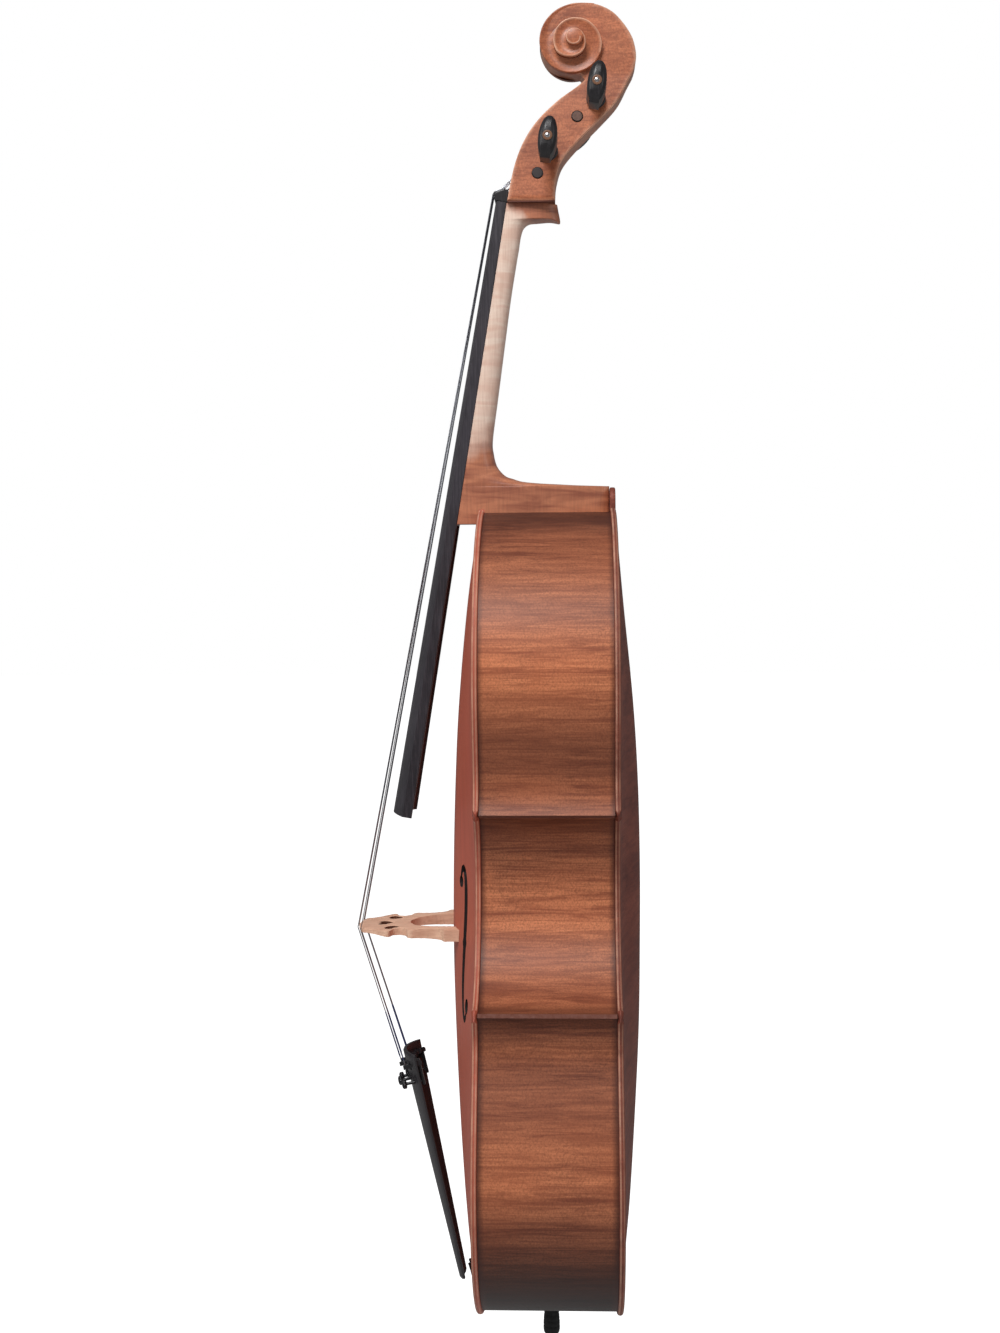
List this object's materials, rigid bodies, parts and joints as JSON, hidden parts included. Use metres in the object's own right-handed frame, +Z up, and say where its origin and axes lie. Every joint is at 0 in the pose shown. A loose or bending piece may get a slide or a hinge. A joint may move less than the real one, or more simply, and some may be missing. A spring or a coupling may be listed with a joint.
{
  "type": "cello",
  "caption": "Full-size cello with arched plates, scroll, turning pegs, strung bridge and tailpiece with fine tuners, and a sliding endpin shown retracted.",
  "frame": {"origin": "centre of the flat end of the endpin's rubber tip, which meets the floor", "axes": "+Z up the instrument to the scroll, -Y out of the belly towards the bow, +X to the treble (A string) side; y=0 is half way through the ribs, on the endpin's axis"},
  "size_m": [0.44, 0.271, 1.26],
  "materials": {
    "spruce_varnished": "red-brown gloss varnish over spruce",
    "back_varnished": "dark red-brown gloss varnish over maple",
    "maple_varnished": "orange-brown gloss varnish over flamed maple",
    "spruce_bare": "bare, unfinished",
    "maple_bare": "oiled bare maple, varnish fading in at both ends",
    "bridge_maple": "bare maple",
    "ebony": "polished black wood",
    "black_fittings": "satin black",
    "rubber_tip": "matt",
    "tail_cord": "satin black cord",
    "steel": "fine polished wire and rod"
  },
  "bodies": {
    "cello": {"back_plate": "back_varnished", "bass_bar": "spruce_bare", "bridge": "bridge_maple", "corner_block_lower_bass": "spruce_bare", "corner_block_lower_treble": "spruce_bare", "corner_block_upper_bass": "spruce_bare", "corner_block_upper_treble": "spruce_bare", "endpin_plug": "ebony", "fingerboard": "ebony", "head": "maple_varnished", "lining_lower_back_bass": "spruce_bare", "lining_lower_back_treble": "spruce_bare", "lining_lower_front_bass": "spruce_bare", "lining_lower_front_treble": "spruce_bare", "lining_upper_back_bass": "spruce_bare", "lining_upper_back_treble": "spruce_bare", "lining_upper_front_bass": "spruce_bare", "lining_upper_front_treble": "spruce_bare", "lining_waist_back_bass": "spruce_bare", "lining_waist_back_treble": "spruce_bare", "lining_waist_front_bass": "spruce_bare", "lining_waist_front_treble": "spruce_bare", "lower_block": "spruce_bare", "neck": "maple_bare", "nut": "ebony", "rib_lower_bass": "maple_varnished", "rib_lower_treble": "maple_varnished", "rib_upper_bass": "maple_varnished", "rib_upper_treble": "maple_varnished", "rib_waist_bass": "maple_varnished", "rib_waist_treble": "maple_varnished", "saddle": "ebony", "sound_post": "spruce_bare", "string_a": "steel", "string_c": "steel", "string_d": "steel", "string_g": "steel", "tail_gut": "tail_cord", "tailpiece": "black_fittings", "top_plate": "spruce_varnished", "tuner_pin_a": "steel", "tuner_pin_c": "steel", "tuner_pin_d": "steel", "tuner_pin_g": "steel", "upper_block": "spruce_bare"},
    "peg_c": {"peg_c": "ebony"},
    "peg_g": {"peg_g": "ebony"},
    "peg_d": {"peg_d": "ebony"},
    "peg_a": {"peg_a": "ebony"},
    "tuner_screw_c": {"tuner_screw_c": "black_fittings"},
    "tuner_lever_c": {"tuner_lever_c": "black_fittings"},
    "tuner_screw_g": {"tuner_screw_g": "black_fittings"},
    "tuner_lever_g": {"tuner_lever_g": "black_fittings"},
    "tuner_screw_d": {"tuner_screw_d": "black_fittings"},
    "tuner_lever_d": {"tuner_lever_d": "black_fittings"},
    "tuner_screw_a": {"tuner_screw_a": "black_fittings"},
    "tuner_lever_a": {"tuner_lever_a": "black_fittings"},
    "endpin": {"endpin_shaft": "steel", "endpin_tip": "rubber_tip"},
    "thumbscrew": {"endpin_thumbscrew": "steel"}
  },
  "joints": [
    {"name": "peg_c_turn", "type": "hinge", "parent": "cello", "child": "peg_c", "pos_m": [0, -0.0074, 1.1056], "axis": [-1, 0, 0], "continuous": true},
    {"name": "peg_g_turn", "type": "hinge", "parent": "cello", "child": "peg_g", "pos_m": [0, 0.0293, 1.1568], "axis": [-1, 0, 0], "continuous": true},
    {"name": "peg_d_turn", "type": "hinge", "parent": "cello", "child": "peg_d", "pos_m": [0, 0.0466, 1.1717], "axis": [1, 0, 0], "continuous": true},
    {"name": "peg_a_turn", "type": "hinge", "parent": "cello", "child": "peg_a", "pos_m": [0, 0.0027, 1.1246], "axis": [1, 0, 0], "continuous": true},
    {"name": "tuner_screw_c_turn", "type": "hinge", "parent": "cello", "child": "tuner_screw_c", "pos_m": [-0.019, -0.12996, 0.25342], "axis": [0, 0.9736, 0.2283], "range_deg": [0, 1440]},
    {"name": "tuner_lever_c_rock", "type": "hinge", "parent": "cello", "child": "tuner_lever_c", "pos_m": [-0.019, -0.12651, 0.27333], "axis": [1, 0, 0], "range_deg": [0, 7.6]},
    {"name": "tuner_screw_g_turn", "type": "hinge", "parent": "cello", "child": "tuner_screw_g", "pos_m": [-0.0064, -0.13469, 0.25342], "axis": [0, 0.9736, 0.2283], "range_deg": [0, 1440]},
    {"name": "tuner_lever_g_rock", "type": "hinge", "parent": "cello", "child": "tuner_lever_g", "pos_m": [-0.0064, -0.13125, 0.27333], "axis": [1, 0, 0], "range_deg": [0, 7.6]},
    {"name": "tuner_screw_d_turn", "type": "hinge", "parent": "cello", "child": "tuner_screw_d", "pos_m": [0.0064, -0.13469, 0.25342], "axis": [0, 0.9736, 0.2283], "range_deg": [0, 1440]},
    {"name": "tuner_lever_d_rock", "type": "hinge", "parent": "cello", "child": "tuner_lever_d", "pos_m": [0.0064, -0.13125, 0.27333], "axis": [1, 0, 0], "range_deg": [0, 7.6]},
    {"name": "tuner_screw_a_turn", "type": "hinge", "parent": "cello", "child": "tuner_screw_a", "pos_m": [0.019, -0.12996, 0.25342], "axis": [0, 0.9736, 0.2283], "range_deg": [0, 1440]},
    {"name": "tuner_lever_a_rock", "type": "hinge", "parent": "cello", "child": "tuner_lever_a", "pos_m": [0.019, -0.12651, 0.27333], "axis": [1, 0, 0], "range_deg": [0, 7.6]},
    {"name": "endpin_slide", "type": "slide", "parent": "cello", "child": "endpin", "axis": [0, 0, -1], "range_m": [0, 0.36]},
    {"name": "thumbscrew_turn", "type": "hinge", "parent": "cello", "child": "thumbscrew", "pos_m": [0, 0, 0.0318], "axis": [-1, 0, 0], "range_deg": [0, 720]}
  ],
  "couplings": [
    {"joint": "tuner_lever_c_rock", "follows": "tuner_screw_c_turn", "ratio": 0.005},
    {"joint": "tuner_lever_g_rock", "follows": "tuner_screw_g_turn", "ratio": 0.005},
    {"joint": "tuner_lever_d_rock", "follows": "tuner_screw_d_turn", "ratio": 0.005},
    {"joint": "tuner_lever_a_rock", "follows": "tuner_screw_a_turn", "ratio": 0.005}
  ]
}
